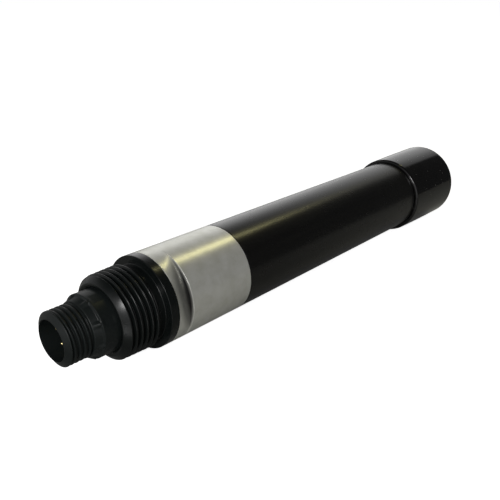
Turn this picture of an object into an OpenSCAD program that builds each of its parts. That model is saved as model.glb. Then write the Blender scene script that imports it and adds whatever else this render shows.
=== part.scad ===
// Water quality probe: an optical sensor in a sealed barrel, with a cable connector at one end
// and a slip-on protective cap over the sensing head at the other.
// The barrel lies along X. The origin is on its axis, at the flange face that seats on a fitting,
// and +X runs towards the sensing head. Angles are turned about +X, from +Z towards -Y.

/* [Barrel] */
// Outside diameter of the flange, collar, tube and sensing head
barrel_d = 29; // [28.6:0.1:30]
// Length of the steel collar between the flange and the tube
collar_len = 30; // [28:0.5:40]
// Length of the black tube
tube_len = 115; // [110:1:160]
// Wall thickness of the black tube
tube_wall = 2; // [1.6:0.1:2.2]
// Length of each plug end that a tube end slips over
spigot_len = 13; // [12:0.1:14]

/* [Wrench recesses] */
// Length of the two crescent recesses along the barrel
wrench_len = 5.4; // [4:0.1:7]
// Depth of a recess at its end wall
wrench_depth = 1.5; // [0.8:0.1:2]
// Depth of a recess where it meets the flange
wrench_start = 0.25; // [0.1:0.05:0.5]
// How far the curve of a recess is off centre
wrench_offset = 3.6; // [3:0.1:5]
// Angle of the first recess around the barrel
wrench_angle = 73; // [0:1:180]

/* [Process thread] */
// Distance between threads of the tapered pipe thread
pipe_pitch = 1.814; // [1.7:0.001:1.9]
// Number of thread crests
pipe_crests = 6; // [4:1:6]
// Crest diameter of the crest nearest the flange
pipe_crest_d = 26.1; // [25.8:0.1:26.6]
// Depth of the thread
pipe_depth = 1.15; // [0.8:0.05:1.2]
// Growth of the crest diameter per millimetre along the taper
pipe_taper = 0.0625; // [0.04:0.0005:0.07]
// Thickness of the flange
flange_t = 3; // [2.5:0.1:4]
// Distance from the seating face to the front face of the fitting
fitting_front = 14.1; // [13.9:0.1:15]

/* [Connector] */
// Crest diameter of the connector thread
plug_crest_d = 15.9; // [15.6:0.1:16]
// Distance between threads of the connector thread
plug_pitch = 1.5; // [1.4:0.05:1.5]
// Number of connector thread crests
plug_crests = 4; // [3:1:4]
// Inside diameter of the connector socket
socket_d = 11.9; // [11.5:0.1:12]
// Distance from the seating face to the mouth of the socket
mouth_reach = 29.1; // [29:0.1:30]
// Number of contact pins
pin_count = 5; // [3:1:6]
// Diameter of a contact pin
pin_d = 1; // [0.8:0.1:1.1]
// Diameter of the circle that the pins stand on
pin_circle_d = 7.5; // [6.5:0.1:7.6]
// Depth of the pin tips below the socket mouth
pin_tip_depth = 3.6; // [3.4:0.1:6]
// Number of spanner recesses around the connector collar
recess_count = 8; // [6:1:8]

/* [Sensing head] */
// Length of the head beyond the tube
head_len = 17.5; // [17:0.1:20]
// Width of the optical notch across the face
notch_w = 10; // [9:0.1:10.5]
// Diameter of each optical window
window_d = 4.8; // [4.4:0.1:5]
// Diameter of the temperature probe
thermistor_d = 3; // [2.5:0.1:3.2]
// Distance that the temperature probe stands out of the face
thermistor_proud = 3.9; // [2:0.1:4]

/* [Protective cap] */
// Overall length of the cap
cap_len = 33.9; // [32:0.1:36]
// Thickness of the cap's side wall
cap_wall = 1.85; // [1.6:0.05:2]
// Thickness of the cap's closed end
cap_end_t = 1.8; // [1.5:0.1:2]
// How much smaller the cap is at its mouth, on the radius
cap_taper = 0.3; // [0.1:0.05:0.4]
// How much smaller the barrel is where the cap fits over it, on the radius
cap_seat_step = 0.2; // [0.2:0.05:0.3]

/* [Hidden] */
$fn = 96;

barrel_r = barrel_d / 2;
tube_r = barrel_r - tube_wall;
slip = 0.02;              // radial gap between pieces that are fitted together
lip = 0.15;               // small chamfer that breaks each turned edge
over = 1;                 // overrun of a cutting shape

collar_x0 = flange_t;
collar_x1 = collar_x0 + collar_len;
tube_x1 = collar_x1 + tube_len;
head_face = tube_x1 + head_len;
cap_end = head_face + thermistor_proud + 1.1 + cap_end_t;
cap_mouth = cap_end - cap_len;
cap_seat_r = barrel_r - cap_seat_step;
cap_seat_x = cap_mouth - 0.3;

// Connector, from the mouth towards the barrel
mouth_x = -mouth_reach;
thread_x0 = mouth_x + 1.15;
plug_r = plug_crest_d / 2;
plug_root_r = plug_r - 0.85;
shoulder_x = -21.2;
shoulder_r = 8.5;
plug_collar_x = -19.1;
plug_collar_r = 9.5;
plug_seat_x = -12.6;
shank_r = 7;
shank_x1 = -4;
insert_x0 = -18;
insert_x1 = -9;
first_pin_angle = -7;
recess_angle = 18.8;
socket_r = socket_d / 2;

// Fitting
seat_bore_r = 10.15;
wire_bore_r = 6.5;
neck_r = 11.9;
neck_len = 2.6;
plug_in_r = 9.5;
plug_in_x1 = collar_x0 + spigot_len;
ring_r = 0.55;            // section radius of the smaller sealing rings
ring_root_r = plug_in_r - 2 * ring_r;

// Steel collar and head spigots
spigot_r = tube_r - slip;
groove_w = 1.5;
groove_depth = 1.2;
groove_places = [2.6, 5.4];
collar_bore_r = 10.5;
collar_tail = collar_x1 + spigot_len;

// Circuit boards
board_z = -4.3;
board_t = 1.6;
board_w = 20;
board_top = board_z + board_t;
header_half = 4.5;
board_x0 = collar_tail + 2.5;
board_x1 = tube_x1 - spigot_len - 2;
carrier_t = 3;
wire_r = 0.6;
core_r = 0.42;

// Head
head_tail = tube_x1 - spigot_len;
cavity_r = 10;
cavity_step_r = 9;
optics_x = head_tail + 10;
optics_t = 1.2;
cavity_x1 = tube_x1 + 2;
notch_depth = notch_w / 2;
notch_mid = notch_depth / 2;
window_t = 1.5;
window_sunk = 0.15;
seal_t = 0.35;
eye_r = 1.6;
eye_len = 7;
led_x0 = window_sunk + window_t + seal_t + 0.1;
led_x1 = 6.5;
lead_y = notch_mid + eye_len / sqrt(2);
lead_x1 = head_face - notch_mid - (led_x1 * sqrt(2) - (lead_y - notch_mid)) - 0.3;
lead_r = 0.22;
thermistor_pos = [-8.2, 7];
bead_x = head_face + thermistor_proud - thermistor_d / 2 - 1.3;
screw_count = 3;
screw_r = 1.25;
screw_x = tube_x1 - 8;

// A solid turned about the barrel's axis from points of [radius, place along X]
module turned(points) {
    rotate([0, 90, 0]) rotate_extrude() polygon([for (p = points) [p[0], p[1]]]);
}

// A plain round bar or, with an inside radius, a tube along X
module bar(x0, x1, r, inner = 0) {
    turned([[inner, x0], [r, x0], [r, x1], [inner, x1]]);
}

// A round sealing ring about the barrel's axis
module ring(x, mid_r, section_r) {
    rotate([0, 90, 0]) translate([0, 0, x]) rotate_extrude()
        translate([mid_r, 0]) circle(r = section_r, $fn = 32);
}

// Places children at each of count angles around the barrel, their +Z pointing outwards
module around(count, first = 0) {
    for (i = [0 : count - 1]) rotate([first + i * 360 / count, 0, 0]) children();
}

// Places children on a 45 degree face of the optical notch, their +Z pointing out of the window
module on_notch(side) {
    translate([head_face - notch_mid, side * notch_mid, 0])
        rotate([0, 0, -side * 45]) rotate([0, 90, 0]) children();
}

// Outline of a row of thread ridges: crest_r at the last crest, falling by slope towards -X
function ridges(x0, count, pitch, crest_r, depth, slope = 0) = [
    for (i = [0 : count - 1])
        let (r = crest_r - slope * (count - 1 - i) * pitch, mid = x0 + (i + 0.5) * pitch)
            for (p = [[r - depth, mid - 0.42 * pitch], [r, mid - 0.1 * pitch],
                      [r, mid + 0.1 * pitch], [r - depth, mid + 0.42 * pitch]]) p
];

// A quarter round from a face to a side, as points about the corner's centre
function quarter(r, x, radius, steps = 6) = [
    for (i = [0 : steps]) let (a = 90 * i / steps)
        [r + radius * sin(a), x - radius * cos(a)]
];

module connector_shell() {
    outline = concat(
        [[socket_r, mouth_x], [socket_r + 0.6, mouth_x], [plug_r - 0.1, thread_x0],
         [plug_root_r, thread_x0 + 0.1]],
        ridges(thread_x0 + 0.1, plug_crests, plug_pitch, plug_r, plug_r - plug_root_r),
        [[plug_root_r, shoulder_x], [shoulder_r, shoulder_x], [shoulder_r + 0.3, -20.2],
         [plug_collar_r, plug_collar_x], [plug_collar_r, plug_seat_x], [shank_r, plug_seat_x],
         [shank_r, shank_x1], [socket_r - 1, shank_x1], [socket_r - 1, insert_x1],
         [socket_r, insert_x1]]
    );
    color([0.13, 0.14, 0.14]) {
        difference() {
            turned(outline);
            around(recess_count, recess_angle)
                translate([-18.1, -2, plug_collar_r - 0.5]) cube([3.2, 4, 2]);
        }
        around(recess_count, recess_angle)
            translate([-19.35, 0, plug_collar_r - 1]) cylinder(h = 1.15, r = 0.8);
        translate([mouth_x + 2.5, -0.6, -socket_r - 0.1])
            cube([insert_x0 - mouth_x - 2.5, 1.2, 0.9]);
    }
}

module connector_insert() {
    color([0.1, 0.1, 0.11]) difference() {
        bar(insert_x0, insert_x1, socket_r - slip);
        around(pin_count, first_pin_angle) translate([0, 0, pin_circle_d / 2])
            bar(insert_x0 - over, insert_x1 + over, pin_d / 2 + slip);
    }
}

// Gold contacts: a round-nosed pin in front of the insert and a solder cup behind it
module contact_pins() {
    tip_x = mouth_x + pin_tip_depth;
    color([0.9, 0.75, 0.35]) around(pin_count, first_pin_angle)
        translate([0, 0, pin_circle_d / 2]) difference() {
            union() {
                translate([tip_x + pin_d / 2, 0, 0]) sphere(r = pin_d / 2, $fn = 32);
                bar(tip_x + pin_d / 2, insert_x1, pin_d / 2);
                bar(insert_x1, insert_x1 + 3, 0.8);
            }
            bar(insert_x1 + 0.8, insert_x1 + 3 + over, 0.5);
        }
}

module connector_oring() {
    color([0.06, 0.06, 0.06]) ring(plug_seat_x + ring_r, shank_r + 0.1 + ring_r, ring_r);
}

module process_fitting() {
    thread_x = -neck_len - pipe_crests * pipe_pitch;
    nose_r = 1.35;
    nose_out = pipe_crest_d / 2 - pipe_taper / 2 * pipe_crests * pipe_pitch - 0.15;
    outline = concat(
        [[seat_bore_r, -fitting_front]],
        quarter(nose_out - nose_r, nose_r - fitting_front, nose_r),
        ridges(thread_x, pipe_crests, pipe_pitch, pipe_crest_d / 2, pipe_depth, pipe_taper / 2),
        [[neck_r, -neck_len], [neck_r, 0], [barrel_r - lip, 0], [barrel_r, lip],
         [barrel_r, flange_t - lip], [barrel_r - lip, flange_t], [plug_in_r, flange_t],
         [plug_in_r, plug_in_x1 - 3.4], [ring_root_r, plug_in_x1 - 3.4],
         [ring_root_r, plug_in_x1 - 1.9], [plug_in_r, plug_in_x1 - 1.9],
         [plug_in_r, plug_in_x1], [wire_bore_r, plug_in_x1], [wire_bore_r, shank_x1 + 0.5],
         [shank_r + slip, shank_x1 + 0.5], [shank_r + slip, plug_seat_x + 2 * ring_r],
         [shank_r + 1.4, plug_seat_x + 2 * ring_r], [shank_r + 1.4, plug_seat_x],
         [seat_bore_r, plug_seat_x]]
    );
    color([0.12, 0.13, 0.13]) turned(outline);
}

module fitting_oring() {
    color([0.06, 0.06, 0.06]) ring(plug_in_x1 - 2.65, ring_root_r + ring_r, ring_r);
}

// Resin that seals the wire way behind the connector
module potting_plug() {
    color([0.2, 0.22, 0.2]) difference() {
        bar(shank_x1 + 1, shank_x1 + 9, wire_bore_r - slip);
        around(pin_count, first_pin_angle) translate([0, 0, pin_circle_d / 2])
            bar(shank_x1, shank_x1 + 10, wire_r + slip);
    }
}

module steel_collar() {
    outline = concat(
        [[plug_in_r + slip, collar_x0], [barrel_r - lip, collar_x0], [barrel_r, collar_x0 + lip],
         [barrel_r, collar_x1 - lip], [barrel_r - lip, collar_x1], [spigot_r, collar_x1]],
        grooves(collar_x1, 1),
        [[spigot_r, collar_tail], [collar_bore_r, collar_tail],
         [collar_bore_r, plug_in_x1 + 1], [plug_in_r + slip, plug_in_x1 + 1]]
    );
    color([0.72, 0.71, 0.68]) difference() {
        turned(outline);
        around(2, wrench_angle) wrench_recess();
    }
}

// What a recess takes away: a crescent outside an off-centre cone, deeper toward its end wall
module wrench_recess() {
    floor_r = barrel_r + wrench_offset;
    slope = (wrench_depth - wrench_start) / wrench_len;
    difference() {
        bar(collar_x0 - over, collar_x0 + wrench_len, barrel_r + 1);
        translate([collar_x0 - over, 0, -wrench_offset]) rotate([0, 90, 0])
            cylinder(r1 = floor_r - wrench_start + slope * over, r2 = floor_r - wrench_depth,
                     h = wrench_len + over);
    }
}

// Outline points of the ring grooves in a spigot that starts at x and runs in direction dir
function grooves(x, dir) = [
    for (g = dir > 0 ? groove_places : [groove_places[1], groove_places[0]])
        for (p = [[spigot_r, -groove_w / 2], [spigot_r - groove_depth, -groove_w / 2],
                  [spigot_r - groove_depth, groove_w / 2], [spigot_r, groove_w / 2]])
            [p[0], x + dir * g + p[1]]
];

// The pair of sealing rings in a spigot's grooves
module spigot_rings(x, dir) {
    section = groove_depth / 2;
    for (g = groove_places) ring(x + dir * g, spigot_r - section, section);
}

module collar_orings() {
    color([0.06, 0.06, 0.06]) spigot_rings(collar_x1, 1);
}

// Plain barrel, turned down a little at the end that the cap fits over
module body_tube() {
    color([0.07, 0.07, 0.07]) difference() {
        turned([[tube_r, collar_x1], [barrel_r - lip, collar_x1], [barrel_r, collar_x1 + lip],
                [barrel_r, cap_seat_x - lip], [cap_seat_r, cap_seat_x],
                [cap_seat_r, tube_x1 - lip], [cap_seat_r - lip, tube_x1], [tube_r, tube_x1]]);
        around(screw_count) translate([screw_x, 0, 0])
            cylinder(h = barrel_r + over, r = screw_r + slip, $fn = 32);
    }
}

// Five insulated wires, each with a bare end in its solder cup
module signal_wires() {
    color([0.75, 0.2, 0.15]) around(pin_count, first_pin_angle)
        translate([0, 0, pin_circle_d / 2]) {
            bar(insert_x1 + 1, insert_x1 + 3.2, core_r);
            bar(insert_x1 + 3.2, board_x0 - 4.5, wire_r);
        }
}

// A terminal block that straddles a board's end
module terminal_block(edge, dir) {
    translate([min(edge, edge - dir * 4.5), -header_half, -header_half])
        cube([4.5, 2 * header_half, 2 * header_half]);
    translate([min(edge, edge + dir * 2.6), -header_half, board_top])
        cube([2.6, 2 * header_half, header_half - board_top]);
}

module wire_header() {
    color([0.88, 0.88, 0.84]) terminal_block(board_x0, 1);
}

module optics_header() {
    color([0.88, 0.88, 0.84]) terminal_block(board_x1, -1);
}

// A disc that centres the circuit board in the tube
module board_carrier(x) {
    difference() {
        bar(x, x + carrier_t, tube_r - 0.1);
        translate([x - over, -board_w / 2 - slip, board_z - slip])
            cube([carrier_t + 2 * over, board_w + 2 * slip, board_t + 2 * slip]);
        translate([0, 0, 4.5]) bar(x - over, x + carrier_t + over, 4);
    }
}

module front_board_carrier() {
    color([0.8, 0.8, 0.76]) board_carrier(board_x0 + 3);
}

module rear_board_carrier() {
    color([0.8, 0.8, 0.76]) board_carrier(board_x1 - 3 - carrier_t);
}

module main_board() {
    color([0.1, 0.4, 0.2]) translate([board_x0, -board_w / 2, board_z])
        cube([board_x1 - board_x0, board_w, board_t]);
}

// A flat electronic package on the main board, centred at a distance from the board's end
module package(along, length, width, height) {
    translate([board_x0 + along - length / 2, -width / 2, board_top])
        cube([length, width, height]);
}

module transceiver_chip() {
    color([0.12, 0.12, 0.12]) package(14, 5, 6, 1.6);
}

module microcontroller() {
    color([0.12, 0.12, 0.12]) package(32, 10, 10, 1.4);
}

module power_inductor() {
    color([0.25, 0.25, 0.27]) package(48, 7, 7, 3.2);
}

module capacitors() {
    color([0.8, 0.8, 0.83]) for (along = [56, 63])
        translate([board_x0 + along, 0, board_top]) cylinder(h = 5.5, r = 2.5);
}

module optics_wires() {
    color([0.9, 0.8, 0.2]) around(4, 45) translate([0, 0, 4])
        bar(board_x1 + 4.5, optics_x, wire_r);
}

module optics_board() {
    color([0.1, 0.4, 0.2]) bar(optics_x, optics_x + optics_t, cavity_r - slip);
}

module optics_amplifier() {
    color([0.12, 0.12, 0.12]) translate([optics_x + optics_t, -3, -3]) cube([1.2, 6, 6]);
}

// Leads from the optics board to the back of the light source and the detector
module optics_leads() {
    color([0.8, 0.78, 0.7]) for (side = [-1, 1]) for (z = [-0.5, 0.5])
        translate([0, side * lead_y, z]) bar(optics_x + optics_t, lead_x1, lead_r);
}

module sensor_head() {
    outline = concat(
        [[cavity_r, head_tail], [spigot_r, head_tail]],
        grooves(tube_x1, -1),
        [[spigot_r, tube_x1], [cap_seat_r - lip, tube_x1], [cap_seat_r, tube_x1 + lip],
         [cap_seat_r, head_face - 0.8], [cap_seat_r - 0.8, head_face], [0, head_face],
         [0, cavity_x1], [cavity_step_r, cavity_x1], [cavity_step_r, optics_x + optics_t],
         [cavity_r, optics_x + optics_t]]
    );
    color([0.09, 0.09, 0.1]) difference() {
        turned(outline);
        // Optical notch, run right across the face
        translate([head_face, 0, -barrel_r - over]) linear_extrude(barrel_d + 2 * over)
            polygon([[over, -notch_depth - over], [over, notch_depth + over], [-notch_depth, 0]]);
        // Stepped bores for the windows and what looks through them
        for (side = [-1, 1]) {
            on_notch(side) translate([0, 0, -window_sunk - window_t - seal_t])
                cylinder(h = 4, r = window_d / 2 + slip);
            on_notch(side) translate([0, 0, -eye_len]) cylinder(h = eye_len, r = eye_r);
            translate([0, side * lead_y, 0])
                bar(cavity_x1 - over, head_face - notch_mid - 4.6, 1.1);
        }
        // Bore for the temperature probe, and tapped holes for the head screws
        translate([0, thermistor_pos[0], thermistor_pos[1]])
            bar(head_face - 12, head_face + over, thermistor_d / 2 + slip);
        around(screw_count) translate([screw_x, 0, cavity_r - over])
            cylinder(h = 5, r = screw_r + slip, $fn = 32);
    }
}

module head_orings() {
    color([0.06, 0.06, 0.06]) spigot_rings(tube_x1, -1);
}

// Set screws with a hexagonal socket
module head_screws() {
    color([0.75, 0.75, 0.76]) around(screw_count) translate([screw_x, 0, 0]) difference() {
        translate([0, 0, cavity_r + 0.3]) cylinder(h = tube_wall + 1.8, r = screw_r, $fn = 32);
        translate([0, 0, cavity_r + 0.9 + tube_wall]) cylinder(h = 3, r = 0.75, $fn = 6);
    }
}

// A lensed lamp or detector package: flange at the back, dome towards the window
module eye_package() {
    length = led_x1 - led_x0;
    translate([0, 0, -led_x1]) {
        cylinder(h = 0.6, r = eye_r - slip);
        cylinder(h = length - 1.4, r = 1.4);
        translate([0, 0, length - 1.4]) sphere(r = 1.4, $fn = 48);
    }
}

module emitter_led() {
    color([0.35, 0.3, 0.5]) on_notch(1) eye_package();
}

module detector_photodiode() {
    color([0.15, 0.15, 0.18]) on_notch(-1) eye_package();
}

module optical_window(side) {
    on_notch(side) translate([0, 0, -window_sunk - window_t])
        cylinder(h = window_t, r = window_d / 2);
}

module emitter_window() {
    color([0.7, 0.8, 0.9]) optical_window(1);
}

module detector_window() {
    color([0.7, 0.8, 0.9]) optical_window(-1);
}

module window_seals() {
    color([0.06, 0.06, 0.06]) for (side = [-1, 1]) on_notch(side)
        translate([0, 0, -window_sunk - window_t - seal_t]) difference() {
            cylinder(h = seal_t, r = window_d / 2);
            translate([0, 0, -over]) cylinder(h = seal_t + 2 * over, r = eye_r + 0.1);
        }
}

// Closed steel tube of the temperature probe, with a round nose
module thermistor_sheath() {
    nose = head_face + thermistor_proud - thermistor_d / 2;
    color([0.78, 0.77, 0.75]) translate([0, thermistor_pos[0], thermistor_pos[1]]) difference() {
        union() {
            bar(head_face - 12, nose, thermistor_d / 2);
            translate([nose, 0, 0]) sphere(r = thermistor_d / 2, $fn = 48);
        }
        bar(head_face - 12 - over, nose - 0.2, thermistor_d / 2 - 0.3);
    }
}

module thermistor_bead() {
    color([0.3, 0.15, 0.1]) translate([bead_x, thermistor_pos[0], thermistor_pos[1]])
        sphere(r = 0.9, $fn = 32);
}

// Soft slip-on cap: a thin cup that narrows a little toward its rounded mouth
module protective_cap() {
    inner_r = cap_seat_r + 0.05;
    outer_r = inner_r + cap_wall;
    corner = 1.7;
    roll = 1.1;
    side_steps = 6;
    side_x0 = cap_mouth + roll;
    side_len = cap_end - corner - side_x0;
    outline = concat(
        [[inner_r, cap_mouth]],
        quarter(outer_r - cap_taper - roll, side_x0, roll),
        [for (i = [1 : side_steps]) let (s = i / side_steps)
            [outer_r - cap_taper * pow(1 - s, 2), side_x0 + s * side_len]],
        [for (i = [1 : 6]) let (a = 90 * i / 6)
            [outer_r - corner + corner * cos(a), cap_end - corner + corner * sin(a)]],
        [[0, cap_end], [0, cap_end - cap_end_t], [inner_r, cap_end - cap_end_t]]
    );
    color([0.05, 0.05, 0.05]) turned(outline);
}

connector_shell();
connector_insert();
contact_pins();
connector_oring();
process_fitting();
fitting_oring();
potting_plug();
steel_collar();
collar_orings();
body_tube();
signal_wires();
wire_header();
front_board_carrier();
rear_board_carrier();
main_board();
transceiver_chip();
microcontroller();
power_inductor();
capacitors();
optics_header();
optics_wires();
optics_board();
optics_amplifier();
optics_leads();
sensor_head();
head_orings();
head_screws();
emitter_led();
detector_photodiode();
emitter_window();
detector_window();
window_seals();
thermistor_sheath();
thermistor_bead();
protective_cap();
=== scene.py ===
import math

import bmesh
import bpy
import numpy as np
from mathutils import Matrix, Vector, noise


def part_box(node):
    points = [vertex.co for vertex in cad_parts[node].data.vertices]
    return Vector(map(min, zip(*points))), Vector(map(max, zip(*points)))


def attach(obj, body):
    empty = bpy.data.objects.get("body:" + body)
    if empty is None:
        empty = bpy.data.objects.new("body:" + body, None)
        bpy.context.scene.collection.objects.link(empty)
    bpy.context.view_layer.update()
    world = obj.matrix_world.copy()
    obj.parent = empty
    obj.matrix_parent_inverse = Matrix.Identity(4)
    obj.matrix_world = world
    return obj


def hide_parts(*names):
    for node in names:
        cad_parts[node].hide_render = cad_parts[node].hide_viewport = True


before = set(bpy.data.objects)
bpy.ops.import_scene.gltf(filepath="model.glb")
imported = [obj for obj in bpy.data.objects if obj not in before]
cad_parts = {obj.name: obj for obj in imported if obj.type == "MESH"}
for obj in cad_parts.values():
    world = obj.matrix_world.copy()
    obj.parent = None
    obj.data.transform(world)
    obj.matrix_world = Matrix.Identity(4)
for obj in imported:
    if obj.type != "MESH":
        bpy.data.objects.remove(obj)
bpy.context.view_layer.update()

MM = 0.001


# ---------------------------------------------------------------- places taken from the frame

def node_span(node):
    """The lowest and highest x of a CAD node."""
    low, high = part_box(node)
    return low.x, high.x


BARREL_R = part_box("body_tube")[1].z
TUBE_X0, TUBE_X1 = node_span("body_tube")
COLLAR_X0, COLLAR_TAIL = node_span("steel_collar")
COLLAR_X1 = TUBE_X0
FITTING_X0, FITTING_TAIL = node_span("process_fitting")
SHELL_X0, SHELL_X1 = node_span("connector_shell")
CAP_X0, CAP_X1 = node_span("protective_cap")
CAP_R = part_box("protective_cap")[1].z
INSERT_X0, INSERT_X1 = node_span("connector_insert")
INSERT_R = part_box("connector_insert")[1].z
PIN_X0, PIN_X1 = node_span("contact_pins")
SEAT_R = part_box("sensor_head")[1].z


# ---------------------------------------------------------------- sizes the same as in part.scad

CAP_SEAT_X = CAP_X0 - 0.3 * MM
PLUG_SEAT_X = -12.6 * MM
PLUG_COLLAR_R = 9.5 * MM
SOCKET_R = 5.95 * MM
WRENCH_LEN = 5.4 * MM
WRENCH_START = 0.25 * MM
WRENCH_DEPTH = 1.5 * MM


# ---------------------------------------------------------------- mesh building

ON_AXIS = 1e-9
SIDE_SHARE = 0.49


def finish_mesh(name, verts, faces, body, material, replaces, sharp=35, second=None):
    """Makes a smooth-shaded object, keeps its hard edges, and ties it to the frame.
    second is another material and the test of a face's centre that gives the face to it."""
    mesh = bpy.data.meshes.new(name)
    mesh.from_pydata([tuple(v) for v in verts], [], faces)
    mesh.validate()
    mesh.update()
    work = bmesh.new()
    work.from_mesh(mesh)
    bmesh.ops.recalc_face_normals(work, faces=work.faces)
    work.to_mesh(mesh)
    work.free()
    mesh.polygons.foreach_set("use_smooth", [True] * len(mesh.polygons))
    mesh.set_sharp_from_angle(angle=math.radians(sharp))
    piece = bpy.data.objects.new(name, mesh)
    bpy.context.scene.collection.objects.link(piece)
    piece.data.materials.append(material)
    if second:
        piece.data.materials.append(second[0])
        for face in mesh.polygons:
            face.material_index = int(second[1](face.center))
    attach(piece, body)
    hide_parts(*replaces)


def rounded(corners, steps=5):
    """A closed outline of (x, r) points. A corner is (x, r) or (x, r, fillet radius).
    A fillet takes less than half of each side beside it."""
    outline = []
    count = len(corners)
    for i, corner in enumerate(corners):
        here = Vector(corner[:2])
        fillet = corner[2] if len(corner) > 2 else 0
        if fillet == 0:
            outline.append(tuple(here))
            continue
        before = Vector(corners[i - 1][:2]) - here
        after = Vector(corners[(i + 1) % count][:2]) - here
        half = before.angle(after) / 2
        reach = min(fillet / math.tan(half), SIDE_SHARE * before.length, SIDE_SHARE * after.length)
        radius = reach * math.tan(half)
        start = here + before.normalized() * reach
        end = here + after.normalized() * reach
        centre = here + (before.normalized() + after.normalized()).normalized() * (
            radius / math.sin(half))
        for step in range(steps + 1):
            t = step / steps
            spoke = (start - centre) * (1 - t) + (end - centre) * t
            outline.append(tuple(centre + spoke.normalized() * radius))
    return outline


def dense(x0, x1, step):
    """Evenly spaced places from x0 to x1, about a step apart."""
    count = max(1, round(abs(x1 - x0) / step))
    return [x0 + (x1 - x0) * i / count for i in range(count + 1)]


def turned(outline, segments, shape=None, closed=True):
    """Vertices and faces of a solid turned about X from an outline of (x, r) points.
    shape(x, r, angle) may move a point. An open outline starts and ends on the axis."""
    angles = np.linspace(0, 2 * math.pi, segments, endpoint=False)
    rows = []
    verts = []
    for x, r in outline:
        if r < ON_AXIS:
            rows.append([len(verts)])
            verts.append((x, 0.0, 0.0))
            continue
        xs = np.full(segments, x)
        rs = np.full(segments, r)
        if shape is not None:
            xs, rs = shape(xs, rs, angles)
        rows.append(list(range(len(verts), len(verts) + segments)))
        verts.extend(zip(xs, -rs * np.sin(angles), rs * np.cos(angles)))
    faces = []
    next_rows = rows[1:] + rows[:1] if closed else rows[1:]
    for row, next_row in zip(rows, next_rows):
        if len(row) == 1 and len(next_row) == 1:
            continue
        for i in range(segments):
            j = (i + 1) % segments
            if len(row) == 1:
                faces.append((row[0], next_row[j], next_row[i]))
            elif len(next_row) == 1:
                faces.append((row[i], row[j], next_row[0]))
            else:
                faces.append((row[i], row[j], next_row[j], next_row[i]))
    return verts, faces


def smooth(low, high, value):
    """0 below low, 1 above high, with a smooth change between."""
    t = np.clip((value - low) / (high - low), 0, 1)
    return t * t * (3 - 2 * t)


def thread_wave(turns, crest=0.16, root=0.2):
    """Height, from 0 at the root to 1 at the crest, of a rounded thread at a number of turns.
    crest and root are the shares of the pitch that are flat."""
    off_crest = np.abs((turns % 1.0) - 0.5) * 2
    return 1 - smooth(crest, 1 - root, off_crest)


# ---------------------------------------------------------------- materials

# Most of a noise texture's values lie between these.
NOISE_LOW = 0.3
NOISE_HIGH = 0.7


def grey(level):
    return (level, level, level)


class Nodes:
    """A short way to write a node tree."""

    def __init__(self, name):
        self.material = bpy.data.materials.new(name)
        self.material.use_nodes = True
        self.tree = self.material.node_tree
        self.shader = self.tree.nodes["Principled BSDF"]
        self.coords = self.tree.nodes.new("ShaderNodeTexCoord").outputs["Object"]

    def node(self, kind, inputs=(), **settings):
        """A new node. Each of its inputs is linked, or set to a constant."""
        made = self.tree.nodes.new(kind)
        for key, value in settings.items():
            setattr(made, key, value)
        for key, value in dict(inputs).items():
            if isinstance(value, bpy.types.NodeSocket):
                self.tree.links.new(value, made.inputs[key])
            else:
                made.inputs[key].default_value = value
        return made

    def scaled(self, scale):
        """Object coordinates stretched along each axis."""
        return self.node("ShaderNodeMapping", {"Vector": self.coords, "Scale": scale}).outputs[0]

    def length(self, vector):
        return self.node("ShaderNodeVectorMath", {0: vector}, operation="LENGTH").outputs["Value"]

    def noise(self, scale, detail, vector=None):
        source = self.coords if vector is None else vector
        return self.node("ShaderNodeTexNoise", {
            "Vector": source, "Scale": scale, "Detail": detail, "Roughness": 0.55,
        }).outputs["Fac"]

    def ramp(self, value, stops):
        """A colour ramp. A stop is a place from 0 to 1 and a colour."""
        made = self.node("ShaderNodeValToRGB", {"Fac": value})
        elements = made.color_ramp.elements
        while len(elements) < len(stops):
            elements.new(0.5)
        for element, (place, colour) in zip(elements, stops):
            element.position = place
            element.color = (*colour, 1)
        return made.outputs["Color"]

    def span(self, value, low, high, low_in, high_in):
        """value stretched from low_in..high_in to low..high."""
        return self.node("ShaderNodeMapRange", {
            "Value": value, "From Min": low_in, "From Max": high_in,
            "To Min": low, "To Max": high,
        }).outputs["Result"]

    def mottled(self, value, dark, light):
        """A noise as a mixture of two colours."""
        return self.ramp(value, [(NOISE_LOW, dark), (NOISE_HIGH, light)])

    def uneven(self, value, low, high):
        """A noise as a number that wanders between low and high."""
        return self.span(value, low, high, NOISE_LOW, NOISE_HIGH)

    def mix(self, factor, first, second, blend="MIX"):
        return self.node("ShaderNodeMix", {"Factor": factor, "A": first, "B": second},
                         data_type="RGBA", blend_type=blend).outputs["Result"]

    def bump(self, height, strength, distance):
        return self.node("ShaderNodeBump", {
            "Height": height, "Strength": strength, "Distance": distance,
        }).outputs["Normal"]

    def set(self, **values):
        """Sets the shader's own sockets, by link or by constant."""
        for key, value in values.items():
            socket = self.shader.inputs[key.replace("_", " ")]
            if isinstance(value, bpy.types.NodeSocket):
                self.tree.links.new(value, socket)
            else:
                socket.default_value = value
        return self.material


def plastic(name, dark, light, rough, grain=0.02, shine=0.5):
    """Moulded or turned plastic: mottled colour, uneven gloss and a fine skin."""
    patch = 0.03
    nodes = Nodes(name)
    colour = nodes.mottled(nodes.noise(220, 5), dark, light)
    gloss = nodes.uneven(nodes.noise(900, 4), rough - patch, rough + patch)
    skin = nodes.bump(nodes.noise(9000, 2), grain, 0.02 * MM)
    return nodes.set(Base_Color=colour, Roughness=gloss, Normal=skin, Specular_IOR_Level=shine)


def metal(name, dark, light, low, high):
    """Plain bright metal with a gloss between low and high."""
    nodes = Nodes(name)
    colour = nodes.mottled(nodes.noise(700, 3), dark, light)
    gloss = nodes.uneven(nodes.noise(2500, 3), low, high)
    return nodes.set(Base_Color=colour, Roughness=gloss, Metallic=1.0)


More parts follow.
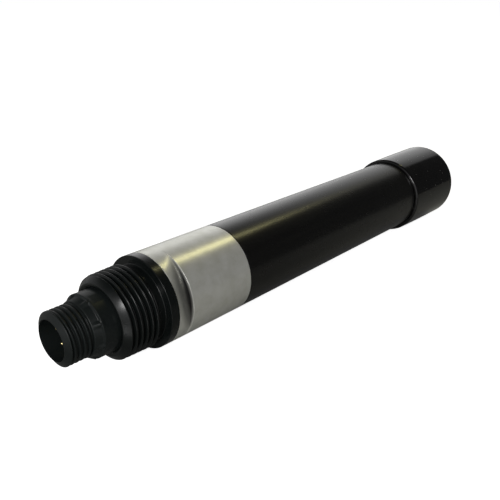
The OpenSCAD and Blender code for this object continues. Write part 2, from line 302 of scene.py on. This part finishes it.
def satin_tube_material():
    """Extruded black barrel: faint lengthwise streaks over a smooth satin skin."""
    nodes = Nodes("satin_black_tube")
    streaks = nodes.noise(500, 6, vector=nodes.scaled((0.05, 1, 1)))
    colour = nodes.mottled(streaks, grey(0.0035), (0.006, 0.006, 0.0055))
    gloss = nodes.uneven(nodes.noise(300, 2), 0.26, 0.275)
    return nodes.set(Base_Color=colour, Roughness=gloss)


def cap_material():
    """Soft dipped vinyl: glossy, faintly rippled, with a few pale specks of dust."""
    nodes = Nodes("soft_vinyl")
    dust = nodes.ramp(nodes.noise(1300, 1), [(0.763, grey(0)), (0.77, grey(1))])
    skin = nodes.mottled(nodes.noise(160, 4), grey(0.003), grey(0.005))
    colour = nodes.mix(dust, skin, (0.35, 0.35, 0.33, 1))
    gloss = nodes.uneven(nodes.noise(700, 3), 0.09, 0.14)
    ripple = nodes.bump(nodes.noise(130, 2), 0.08, 0.25 * MM)
    return nodes.set(Base_Color=colour, Roughness=gloss, Normal=ripple)


def steel_material():
    """Turned stainless steel: fine rings around the barrel draw its highlights out lengthwise."""
    nodes = Nodes("turned_stainless")
    rings = nodes.noise(1.0, 3, vector=nodes.scaled((9000, 60, 60)))
    colour = nodes.mottled(nodes.noise(300, 3), (0.79, 0.79, 0.72), (0.92, 0.92, 0.87))
    gloss = nodes.uneven(rings, 0.33, 0.38)
    skin = nodes.bump(rings, 0.04, 0.01 * MM)
    along = nodes.node("ShaderNodeTangent", direction_type="RADIAL", axis="X").outputs["Tangent"]
    return nodes.set(Base_Color=colour, Roughness=gloss, Metallic=0.62, Anisotropic=0.3,
                     Specular_Tint=(0.6, 0.6, 0.6, 1), Anisotropic_Rotation=0.25, Tangent=along,
                     Normal=skin)


def milled_material():
    """The same steel where a cutter has left it, darker the deeper it lies: painted shade in the
    recess.
    """
    nodes = Nodes("milled_steel_painted_shade")
    off_axis = nodes.length(nodes.scaled((0, 1, 1)))
    depth = nodes.span(off_axis, 0, 1, BARREL_R, BARREL_R - WRENCH_DEPTH)
    # painted shade: the colour darkens from steel to near black with depth in the recess
    colour = nodes.ramp(depth, [(0.15, (0.80, 0.80, 0.74)), (0.45, (0.34, 0.34, 0.32)),
                                (0.85, (0.05, 0.05, 0.048))])
    gloss = nodes.uneven(nodes.noise(3000, 3), 0.33, 0.38)
    return nodes.set(Base_Color=colour, Roughness=gloss, Metallic=0.66,
                     Specular_Tint=(0.6, 0.6, 0.6, 1))


def gold_material():
    """Plated contacts, slightly uneven in colour and gloss."""
    nodes = Nodes("gold_plate")
    colour = nodes.mottled(nodes.noise(900, 3), (0.95, 0.78, 0.36), (1.0, 0.86, 0.46))
    gloss = nodes.uneven(nodes.noise(3000, 2), 0.2, 0.28)
    return nodes.set(Base_Color=colour, Roughness=gloss, Metallic=1.0)


def glass_material():
    """Sapphire window: clear, faintly tinted, with a trace of polish marks."""
    nodes = Nodes("window_glass")
    colour = nodes.mottled(nodes.noise(400, 2), (0.80, 0.88, 0.95), (0.88, 0.94, 0.98))
    gloss = nodes.uneven(nodes.noise(5000, 2), 0.01, 0.05)
    return nodes.set(Base_Color=colour, Roughness=gloss, Transmission_Weight=1.0, IOR=1.76)


CONNECTOR = plastic("connector_plastic", (0.0085, 0.011, 0.0108), (0.0115, 0.0145, 0.014), 0.36,
                    grain=0.003, shine=0.28)
FITTING = plastic("fitting_plastic", (0.0045, 0.006, 0.0058), (0.006, 0.0078, 0.0075), 0.24,
                  grain=0.002, shine=0.33)
INSULATOR = plastic("insulator", (0.035, 0.037, 0.036), (0.045, 0.048, 0.046), 0.5)
RUBBER = plastic("seal_rubber", grey(0.008), grey(0.014), 0.55)
RESIN = plastic("resin", (0.02, 0.022, 0.02), (0.03, 0.033, 0.03), 0.2)
HEAD = plastic("head_plastic", (0.010, 0.010, 0.011), (0.018, 0.018, 0.019), 0.34)
BOARD = plastic("solder_mask", (0.01, 0.09, 0.035), (0.015, 0.13, 0.05), 0.3)
CHIP = plastic("chip_package", grey(0.015), grey(0.028), 0.5)
FERRITE = plastic("ferrite", (0.04, 0.04, 0.045), (0.07, 0.07, 0.075), 0.55)
TERMINAL = plastic("terminal_plastic", (0.62, 0.62, 0.56), (0.72, 0.72, 0.66), 0.4)
CARRIER = plastic("carrier_plastic", (0.55, 0.55, 0.50), (0.65, 0.65, 0.60), 0.45)
RED_WIRE = plastic("red_insulation", (0.42, 0.02, 0.015), (0.55, 0.03, 0.02), 0.35)
YELLOW_WIRE = plastic("yellow_insulation", (0.65, 0.42, 0.03), (0.78, 0.52, 0.04), 0.35)
LED = plastic("tinted_lens", (0.05, 0.035, 0.12), (0.08, 0.055, 0.18), 0.08)
DETECTOR = plastic("dark_lens", (0.010, 0.009, 0.014), (0.02, 0.018, 0.025), 0.08)
BEAD = plastic("dipped_bead", (0.09, 0.03, 0.015), (0.13, 0.045, 0.02), 0.25)
TUBE = satin_tube_material()
VINYL = cap_material()
STEEL = steel_material()
MILLED_STEEL = milled_material()
GOLD = gold_material()
CAN = metal("can_aluminium", (0.70, 0.70, 0.72), (0.80, 0.80, 0.82), 0.2, 0.35)
TINNED = metal("tinned_lead", (0.60, 0.59, 0.56), (0.70, 0.69, 0.66), 0.25, 0.4)
GLASS = glass_material()

NODE_MATERIALS = {
    "connector_oring": RUBBER, "fitting_oring": RUBBER, "collar_orings": RUBBER,
    "head_orings": RUBBER, "window_seals": RUBBER, "potting_plug": RESIN,
    "signal_wires": RED_WIRE, "optics_wires": YELLOW_WIRE, "wire_header": TERMINAL,
    "optics_header": TERMINAL, "front_board_carrier": CARRIER, "rear_board_carrier": CARRIER,
    "main_board": BOARD, "optics_board": BOARD, "transceiver_chip": CHIP,
    "microcontroller": CHIP, "optics_amplifier": CHIP, "power_inductor": FERRITE,
    "capacitors": CAN, "optics_leads": TINNED, "sensor_head": HEAD, "head_screws": STEEL,
    "emitter_led": LED, "detector_photodiode": DETECTOR, "emitter_window": GLASS,
    "detector_window": GLASS, "thermistor_sheath": STEEL, "thermistor_bead": BEAD,
    "connector_insert": INSULATOR, "contact_pins": GOLD, "connector_shell": CONNECTOR,
    "process_fitting": FITTING, "steel_collar": STEEL, "body_tube": TUBE,
    "protective_cap": VINYL,
}


def dress_cad_nodes():
    """Gives every CAD node its material, the replaced ones too."""
    for name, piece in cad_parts.items():
        piece.data.materials.clear()
        piece.data.materials.append(NODE_MATERIALS[name])


# ---------------------------------------------------------------- the connector

SHELL_PITCH = 1.5 * MM
SHELL_TURNS = 4.4
SHELL_CREST_R = 7.95 * MM
SHELL_ROOT_R = 7.25 * MM
SHELL_FACE_R = 6.1 * MM
SHELL_THREAD_X0 = SHELL_X0 + 1.1 * MM
SHELL_THREAD_X1 = SHELL_THREAD_X0 + SHELL_TURNS * SHELL_PITCH
SHOULDER_X = -21.25 * MM
PLUG_COLLAR_X = -18.8 * MM
BAND_X0 = -18.5 * MM
BAND_X1 = -14.2 * MM
RECESS_STEP = math.radians(45)
RECESS_FIRST = math.radians(19)


def shell_outline():
    """Mouth, threaded sleeve, slope, the collar's band, and the shank inside the fitting."""
    lead_x = SHELL_THREAD_X0 + 0.3 * MM
    shank_r = 7 * MM
    bore_r = SOCKET_R - 1 * MM
    mouth = rounded([
        (SHELL_X0 + 8 * MM, SOCKET_R), (SHELL_X0, SOCKET_R, 0.15 * MM),
        (SHELL_X0, SHELL_FACE_R, 0.1 * MM), (SHELL_THREAD_X0, SHELL_CREST_R, 0.3 * MM),
        (lead_x, SHELL_CREST_R)], 6)[1:-1]
    sleeve = [(x, SHELL_CREST_R) for x in dense(lead_x, SHOULDER_X - 0.05 * MM, 0.04 * MM)]
    slope = rounded([
        (SHOULDER_X - 1 * MM, SHELL_ROOT_R), (SHOULDER_X, SHELL_ROOT_R, 0.15 * MM),
        (SHOULDER_X, 8.2 * MM, 0.3 * MM), (-19.1 * MM, 8.8 * MM, 0.3 * MM),
        (PLUG_COLLAR_X, PLUG_COLLAR_R, 0.15 * MM), (BAND_X0, PLUG_COLLAR_R)], 6)[1:-1]
    band = [(x, PLUG_COLLAR_R) for x in dense(BAND_X0, BAND_X1, 0.11 * MM)]
    shank = rounded([
        (BAND_X1, PLUG_COLLAR_R), (PLUG_SEAT_X, PLUG_COLLAR_R, 0.1 * MM), (PLUG_SEAT_X, shank_r),
        (SHELL_X1, shank_r, 0.3 * MM), (SHELL_X1, bore_r), (INSERT_X1, bore_r),
        (INSERT_X1, SOCKET_R)], 3)[1:]
    return mouth + sleeve + slope + band + shank


def shell_thread(x, r, angle):
    """Cuts the helical thread, which rises at the mouth and ends before the shoulder."""
    end_x = SHELL_THREAD_X1 - 0.1 * MM
    on_sleeve = ((x > SHELL_THREAD_X0 - 0.3 * MM) & (x < SHOULDER_X - 0.02 * MM)
                 & (r > SHELL_FACE_R))
    wave = thread_wave((x - SHELL_THREAD_X0) / SHELL_PITCH - angle / (2 * math.pi))
    start = smooth(SHELL_THREAD_X0 + 0.1 * MM, SHELL_THREAD_X0 + 0.6 * MM, x)
    stop = 1 - smooth(end_x, SHELL_THREAD_X1 + 0.25 * MM, x)
    ridge = 1 - (1 - wave) * start
    height = np.where(x > end_x, ridge * stop, ridge)
    return np.where(on_sleeve, SHELL_ROOT_R + (r - SHELL_ROOT_R) * height, r)


def shell_recesses(x, r, around):
    """Sinks shallow, flat, round-cornered recesses into the collar's band."""
    x0, x1 = -18.1 * MM, -14.9 * MM
    half_angle = math.radians(12)
    corner = 0.5 * MM
    depth = 0.11 * MM
    dx = np.maximum(np.abs(x - (x0 + x1) / 2) - (x1 - x0) / 2 + corner, 0)
    ds = np.maximum((np.abs(around) - half_angle) * PLUG_COLLAR_R + corner, 0)
    sunk = smooth(-0.35 * MM, 0.5 * MM, corner - np.hypot(dx, ds))
    flat = (PLUG_COLLAR_R - depth) / np.maximum(np.cos(around), 0.5)
    on_band = (x > BAND_X0 - 0.2 * MM) & (x < BAND_X1 + 0.2 * MM) & (r > 9 * MM)
    return np.where(on_band, r * (1 - sunk) + np.minimum(flat, r) * sunk, r)


def shell_spots(x, r, around):
    """Raises a spot on the slope in front of each recess."""
    spot_x = -19.25 * MM
    half_length = 0.75 * MM
    half_width = 1.0 * MM
    off_spot = np.hypot((x - spot_x) / half_length, around * PLUG_COLLAR_R / half_width)
    rise = 1 - smooth(0.0, 1.3, off_spot)
    on_slope = (x > -20.4 * MM) & (x < -18.0 * MM) & (r > 8.25 * MM)
    return np.where(on_slope, np.maximum(r, r + rise * (PLUG_COLLAR_R - r)), r)


def shell_shape(x, r, angle):
    """Thread, recesses and spots. around is the angle from the middle of the nearest recess."""
    around = (angle - RECESS_FIRST + RECESS_STEP / 2) % RECESS_STEP - RECESS_STEP / 2
    r = shell_thread(x, r, angle)
    r = shell_recesses(x, r, around)
    return x, shell_spots(x, r, around)


def connector_shell():
    """Moulded plug shell: threaded sleeve, shoulder, and a collar with spanner recesses."""
    verts, faces = turned(shell_outline(), 360, shell_shape)
    finish_mesh("plug_shell", verts, faces, "probe", CONNECTOR,
                replaces=("connector_shell",))


def connector_insert():
    """Insulator with a raised rim round its face."""
    face_r = 4.9 * MM
    rim = 0.35 * MM
    outline = rounded([
        (INSERT_X0, 0), (INSERT_X0, face_r), (INSERT_X0 - rim, 5.0 * MM, 0.1 * MM),
        (INSERT_X0 - rim, INSERT_R, 0.1 * MM), (INSERT_X1, INSERT_R), (INSERT_X1, 0)], 3)
    verts, faces = turned(outline, 96, closed=False)
    finish_mesh("pin_insulator", verts, faces, "probe", INSULATOR,
                replaces=("connector_insert",))


def contact_pins():
    """Five round-nosed gold pins with solder cups."""
    count = 5
    first_degrees = -7
    circle_r = 3.75 * MM
    pin_r = 0.5 * MM
    cup_r = 0.8 * MM
    cup_x = INSERT_X1 + 0.8 * MM
    outline = [(PIN_X0 + pin_r * (1 - math.cos(a)), pin_r * math.sin(a))
               for a in (math.radians(10 * i) for i in range(10))]
    outline += rounded([
        (PIN_X0 + 2 * pin_r, pin_r), (INSERT_X1, pin_r), (INSERT_X1, cup_r, 0.1 * MM),
        (PIN_X1, cup_r, 0.08 * MM), (PIN_X1, pin_r, 0.05 * MM), (cup_x, pin_r), (cup_x, 0)], 4)
    pin_verts, pin_faces = turned(outline, 40, closed=False)
    verts = []
    faces = []
    for k in range(count):
        angle = math.radians(first_degrees + 360 // count * k)
        dy, dz = -circle_r * math.sin(angle), circle_r * math.cos(angle)
        base = len(verts)
        verts += [(x, y + dy, z + dz) for x, y, z in pin_verts]
        faces += [tuple(i + base for i in face) for face in pin_faces]
    finish_mesh("gold_pins", verts, faces, "probe", GOLD, replaces=("contact_pins",))


# ---------------------------------------------------------------- the barrel

def process_fitting():
    """Threaded fitting: rounded nose, tapered helical thread, neck and flange."""
    pitch = 1.814 * MM
    depth = 1.15 * MM
    taper = 0.03125
    crest_end_r = 13.05 * MM
    neck_r = 11.9 * MM
    neck_x = -2.6 * MM
    seat_r = 10.15 * MM
    nose_x = FITTING_X0 + 1.75 * MM
    flange_x = COLLAR_X0
    plug_r = 9.5 * MM
    wire_bore_r = 6.5 * MM
    shank_bore_r = 7.02 * MM
    shank_bore_x = -3.5 * MM

    def crest(x):
        return crest_end_r + (x - neck_x) * taper

    nose = rounded([
        (PLUG_SEAT_X, seat_r), (FITTING_X0, seat_r, 0.12 * MM), (FITTING_X0, 10.8 * MM, 0.4 * MM),
        (nose_x, crest(nose_x), 1.2 * MM), (nose_x + 0.6 * MM, crest(nose_x))], 8)[1:-1]
    thread = [(x, crest(x)) for x in dense(nose_x + 0.62 * MM, neck_x + 0.7 * MM, 0.022 * MM)]
    flange = rounded([
        (neck_x + 0.75 * MM, neck_r), (0, neck_r, 0.25 * MM), (0, BARREL_R, 0.18 * MM),
        (0.6 * MM, BARREL_R), (flange_x - 0.6 * MM, BARREL_R), (flange_x, BARREL_R, 0.15 * MM),
        (flange_x, plug_r), (FITTING_TAIL, plug_r), (FITTING_TAIL, wire_bore_r),
        (shank_bore_x, wire_bore_r), (shank_bore_x, shank_bore_r), (PLUG_SEAT_X, shank_bore_r),
        (PLUG_SEAT_X, seat_r)], 6)[:-1]

    def shape(x, r, angle):
        """Cuts the thread, which rises behind the nose and runs out into the neck."""
        outer = (x > FITTING_X0 + 0.3 * MM) & (x < neck_x + 0.72 * MM) & (r > 11 * MM)
        turns = (x - neck_x) / pitch - angle / (2 * math.pi) + 0.25
        wave = thread_wave(turns, crest=0.06, root=0.08)
        cut_r = r - depth * (1 - wave) * smooth(nose_x - 0.3 * MM, nose_x + 0.6 * MM, x)
        runout = smooth(neck_x - 0.5 * MM, neck_x + 0.6 * MM, x)
        threaded = cut_r * (1 - runout) + np.minimum(cut_r, neck_r) * runout
        return x, np.where(outer, threaded, r)

    verts, faces = turned(nose + thread + flange, 360, shape)
    finish_mesh("pipe_fitting", verts, faces, "probe", FITTING, sharp=50,
                replaces=("process_fitting",))


def steel_collar():
    """Turned steel collar with two crescent recesses for a hook wrench beside the flange."""
    wall_x = COLLAR_X0 + WRENCH_LEN
    plug_bore_x = 17 * MM
    plug_bore_r = 9.52 * MM
    tail_bore_r = 10.5 * MM
    spigot_r = 12.4 * MM
    rim = 0.12 * MM
    first_angle = math.radians(73)
    offset = 3.6 * MM
    blend = 0.12 * MM
    chamfer = 0.07 * MM
    hair = 0.001 * MM

    outline = rounded([
        (COLLAR_X0, plug_bore_r), (COLLAR_X0, BARREL_R, rim), (wall_x, BARREL_R)], 5)[:-1]
    recess_rows = dense(COLLAR_X0 + 0.3 * MM, wall_x - 0.2 * MM, 0.3 * MM)
    wall_rows = [wall_x - 0.03 * MM, wall_x, wall_x + 0.05 * MM]
    plain_rows = dense(wall_x + 0.5 * MM, COLLAR_X1 - 0.4 * MM, 1.5 * MM)
    outline += [(x, BARREL_R) for x in recess_rows + wall_rows + plain_rows]
    outline += rounded([
        (COLLAR_X1 - 0.4 * MM, BARREL_R), (COLLAR_X1, BARREL_R, rim), (COLLAR_X1, spigot_r),
        (COLLAR_TAIL, spigot_r), (COLLAR_TAIL, tail_bore_r), (plug_bore_x, tail_bore_r),
        (plug_bore_x, plug_bore_r), (COLLAR_X0, plug_bore_r)], 5)[1:-1]

    def shape(x, r, angle):
        """Cuts an off-centre cone on both sides, deeper toward its end wall."""
        off = (angle - first_angle + math.pi / 2) % math.pi - math.pi / 2
        along = np.clip((x - COLLAR_X0) / (wall_x - COLLAR_X0), 0, 1)
        cone_r = BARREL_R + offset - WRENCH_START - (WRENCH_DEPTH - WRENCH_START) * along
        floor_r = np.sqrt(cone_r ** 2 - (offset * np.sin(off)) ** 2) - offset * np.cos(off)
        cut = BARREL_R - blend * np.logaddexp(-(r - BARREL_R) / blend,
                                              -(floor_r - BARREL_R) / blend)
        depth = np.maximum(r - cut, 0)
        depth = np.where(x > wall_x - hair, np.minimum(chamfer, 0.5 * depth), depth)
        return x, np.where((x < wall_x + hair) & (r > 12 * MM), r - depth, r)

    def in_recess(centre):
        off_axis = math.hypot(centre.y, centre.z)
        return centre.x < wall_x and 12.8 * MM < off_axis < BARREL_R - 0.2 * MM

    verts, faces = turned(outline, 512, shape)
    finish_mesh("turned_collar", verts, faces, "probe", STEEL, sharp=25,
                replaces=("steel_collar",), second=(MILLED_STEEL, in_recess))


def body_tube():
    """Plain black barrel with softened ends, turned down where the cap fits over it."""
    rim = 0.15 * MM
    step_rim = 0.1 * MM
    bore_r = 12.5 * MM
    outline = rounded([
        (TUBE_X0, bore_r), (TUBE_X0, BARREL_R, rim), (TUBE_X0 + 1 * MM, BARREL_R),
        (CAP_SEAT_X - 1 * MM, BARREL_R), (CAP_SEAT_X - rim, BARREL_R, step_rim),
        (CAP_SEAT_X, SEAT_R, step_rim), (CAP_SEAT_X + 1 * MM, SEAT_R), (TUBE_X1 - 1 * MM, SEAT_R),
        (TUBE_X1, SEAT_R, rim), (TUBE_X1, bore_r)], 5)
    verts, faces = turned(outline, 256)
    finish_mesh("black_barrel", verts, faces, "probe", TUBE,
                replaces=("body_tube",))


def protective_cap():
    """Soft dipped cap: a little narrower at its rolled mouth, faintly wavy, round at its corner."""
    inner_r = SEAT_R + 0.05 * MM
    roll = 0.8 * MM
    corner = 2.1 * MM
    corner_steps = 12
    taper = 0.3 * MM
    wave = 0.06 * MM
    waves_along, waves_around = 70, 1.6
    end_x = CAP_X1 - 0.3 * MM
    end_in_x = CAP_X1 - 1.8 * MM
    side_x0 = CAP_X0 + roll
    side_x1 = end_x - corner

    outline = rounded([
        (end_in_x, inner_r), (CAP_X0, inner_r, 0.2 * MM), (CAP_X0, CAP_R, roll),
        (side_x1, CAP_R)], 10)[:-1]
    outline += [(x, CAP_R) for x in dense(side_x0 + 0.5 * MM, side_x1, 0.9 * MM)]
    outline += [
        (side_x1 + corner * math.sin(a), CAP_R - corner + corner * math.cos(a))
        for a in (math.radians(90 * i / corner_steps) for i in range(1, corner_steps + 1))]
    outline += [(end_x, r) for r in dense(CAP_R - corner - 1 * MM, 1.2 * MM, 1.2 * MM)]
    outline += [(end_x, 0), (end_in_x, 0)]

    def shape(x, r, angle):
        along = np.clip((x - side_x0) / (side_x1 - side_x0), 0, 1)
        outer = smooth(inner_r + 0.2 * MM, CAP_R - 0.2 * MM, r)
        swell = np.array([
            noise.noise(Vector((place * waves_along, math.cos(a) * waves_around,
                                math.sin(a) * waves_around)))
            for place, a in zip(x, angle)])
        return x, r - (taper * (1 - along) ** 2 + wave * (0.5 + 0.5 * swell)) * outer

    verts, faces = turned(outline, 192, shape)
    finish_mesh("vinyl_cap", verts, faces, "cap", VINYL, sharp=50,
                replaces=("protective_cap",))


# ---------------------------------------------------------------- stage, lights and camera

FLOOR_REACH = 60
FLOOR_GAP = 0.05 * MM
TABLE_EDGE = -0.155
ROOM_R = 2.0
ROOM_DIM = 0.03
FRONT_GLOW = 0.55
LEFT_GLOW = 0.3
SWEEP_GLOW = 1.45


def stage_sheet(name, verts, faces, material, seen):
    """A piece of the studio. Only the camera sees it, or else it only lights the probe and shows
    in its gloss."""
    mesh = bpy.data.meshes.new(name)
    mesh.from_pydata(verts, [], faces)
    sheet = bpy.data.objects.new(name, mesh)
    bpy.context.scene.collection.objects.link(sheet)
    sheet.data.materials.append(material)
    sheet.visible_camera = seen
    sheet.visible_diffuse = not seen
    sheet.visible_glossy = not seen
    sheet.visible_transmission = not seen
    sheet.visible_shadow = not seen
    return sheet


def rectangle(x0, y0, x1, y1):
    return [(x0, y0, 0), (x1, y0, 0), (x1, y1, 0), (x0, y1, 0)], [(0, 1, 2, 3)]


def floor_material():
    """Matt white, overexposed as in a cut-out picture, so the contact shadow is only a trace.
    Far off, where no lamp reaches, it glows as white as the world behind it."""
    nodes = Nodes("white_floor")
    colour = nodes.mottled(nodes.noise(3, 2), grey(0.90), grey(0.92))
    far = nodes.span(nodes.length(nodes.coords), 0, 1, 0.5, 1.5)
    glow = nodes.ramp(far, [(0.0, grey(0.93)), (1.0, grey(1.0))])
    return nodes.set(Base_Color=colour, Roughness=0.9, Emission_Color=glow, Emission_Strength=1.0,
                     Specular_IOR_Level=0.0)


def table_material():
    """The table as the probe's gloss shows it, with a soft sheen: paler toward the cap and darker
    toward the connector, a painted shadow of the probe.
    """
    nodes = Nodes("table_painted_shade")
    along = nodes.node("ShaderNodeSeparateXYZ", {"Vector": nodes.coords}).outputs["X"]
    # painted shadow: the colour darkens from the cap toward the connector where the probe shades
    # the table
    colour = nodes.ramp(nodes.span(along, 0, 1, COLLAR_X1, TUBE_X1), [
        (0.2, (0.36, 0.36, 0.345)), (1.0, (0.57, 0.57, 0.55))])
    return nodes.set(Base_Color=colour, Roughness=0.25)


def room_material():
    """The room as the probe's gloss shows it: a white sweep behind the probe, dimmer with height
    and toward the cap. The left side and the camera's side glow less, and the rest is dim."""
    nodes = Nodes("lit_room")
    axes = nodes.node("ShaderNodeSeparateXYZ", {"Vector": nodes.coords}).outputs
    turn = nodes.node("ShaderNodeMath", {0: axes["Y"], 1: axes["X"]},
                      operation="ARCTAN2").outputs[0]
    height = nodes.ramp(axes["Z"], [(place, grey(glow)) for place, glow in (
        (0.407, 1.0), (0.48, 0.87), (0.55, 0.62), (0.63, 0.33), (0.73, 0.12), (0.866, 0.05))])
    side = nodes.ramp(nodes.span(turn, 0, 1, -math.pi, math.pi), [
        (0.5 + degrees / 360, grey(glow)) for degrees, glow in (
            (-95, FRONT_GLOW), (-80, ROOM_DIM), (-1, ROOM_DIM), (1, 0.3), (17, 0.6), (30, 0.69),
            (43, 0.95), (56, 1.0), (62, LEFT_GLOW), (165, LEFT_GLOW), (170, FRONT_GLOW))])
    glow = nodes.mix(1.0, height, side, blend="MULTIPLY")
    least = nodes.mix(1.0, glow, (*grey(ROOM_DIM), 1), blend="LIGHTEN")
    return nodes.set(Base_Color=(0, 0, 0, 1), Emission_Color=least, Emission_Strength=SWEEP_GLOW,
                     Specular_IOR_Level=0.0)


def floor():
    """A white floor, and the table that shows in the gloss. Both pass just under the flange and
    the cap, so they slope a little."""
    tilt = math.atan((CAP_R - BARREL_R) / (CAP_X1 - 2 * MM))
    verts, faces = rectangle(-FLOOR_REACH, -FLOOR_REACH, FLOOR_REACH, FLOOR_REACH)
    seen = stage_sheet("floor", verts, faces, floor_material(), True)
    verts, faces = rectangle(-1.5, TABLE_EDGE, 2.2, 2.0)
    table = stage_sheet("table", verts, faces, table_material(), False)
    for sheet in (seen, table):
        sheet.rotation_euler = (0, tilt, 0)
        sheet.location = (0, 0, -BARREL_R - FLOOR_GAP)


def room():
    """The room round the probe, as a dome from below the floor to nearly overhead."""
    rows = 30
    columns = 90
    lowest, height = -12, 100
    verts = []
    for i in range(rows + 1):
        up = math.radians(lowest + height * i / rows)
        for j in range(columns + 1):
            around = math.radians(360 * j / columns)
            verts.append((math.cos(up) * math.cos(around), math.cos(up) * math.sin(around),
                          math.sin(up)))
    faces = [(a, a + 1, a + columns + 2, a + columns + 1)
             for a in (i * (columns + 1) + j for i in range(rows) for j in range(columns))]
    dome = stage_sheet("room", verts, faces, room_material(), False)
    dome.scale = (ROOM_R,) * 3


def area_light(name, place, target, size, power, colour):
    """A rectangular lamp that the camera doesn't see."""
    data = bpy.data.lights.new(name, "AREA")
    data.shape = "RECTANGLE"
    data.size, data.size_y = size
    data.energy = power
    data.color = colour
    lamp = bpy.data.objects.new(name, data)
    bpy.context.scene.collection.objects.link(lamp)
    lamp.location = place
    lamp.rotation_euler = (Vector(target) - Vector(place)).to_track_quat("-Z", "Y").to_euler()
    lamp.visible_camera = False


def lights():
    """A warm strip overhead, a small panel at the left, and a white world that only the camera
    sees."""
    world = bpy.data.worlds.new("room")
    bpy.context.scene.world = world
    world.use_nodes = True
    world.node_tree.nodes["Background"].inputs["Color"].default_value = (1, 1, 1, 1)
    seen = world.cycles_visibility
    seen.diffuse = seen.glossy = seen.transmission = seen.scatter = False
    area_light("overhead_strip", place=(0.69, 0.015, 0.8), target=(0.69, 0, 0),
               size=(0.37, 0.05), power=0.74, colour=(1.0, 0.93, 0.46))
    area_light("left_panel", place=(-0.85, -0.49, 0.48), target=(0, 0, 0),
               size=(0.26, 0.26), power=4.5, colour=(1, 1, 1))


def camera():
    """The photograph's view: the near end is the connector, the cap is at the far right."""
    tube_radii_away = Vector((-9.086, -9.1464, 5.8562))
    forward = Vector((0.68501, 0.61689, -0.38753))
    data = bpy.data.cameras.new("camera")
    data.lens = 44.72
    data.sensor_width = 36
    data.clip_start = 0.01
    eye = bpy.data.objects.new("camera", data)
    bpy.context.scene.collection.objects.link(eye)
    eye.location = Vector((TUBE_X0, 0, 0)) + tube_radii_away * BARREL_R
    eye.rotation_euler = forward.to_track_quat("-Z", "Y").to_euler()
    bpy.context.scene.camera = eye
    bpy.context.scene.view_settings.view_transform = "Standard"


dress_cad_nodes()
connector_shell()
connector_insert()
contact_pins()
process_fitting()
steel_collar()
body_tube()
protective_cap()
floor()
room()
lights()
camera()
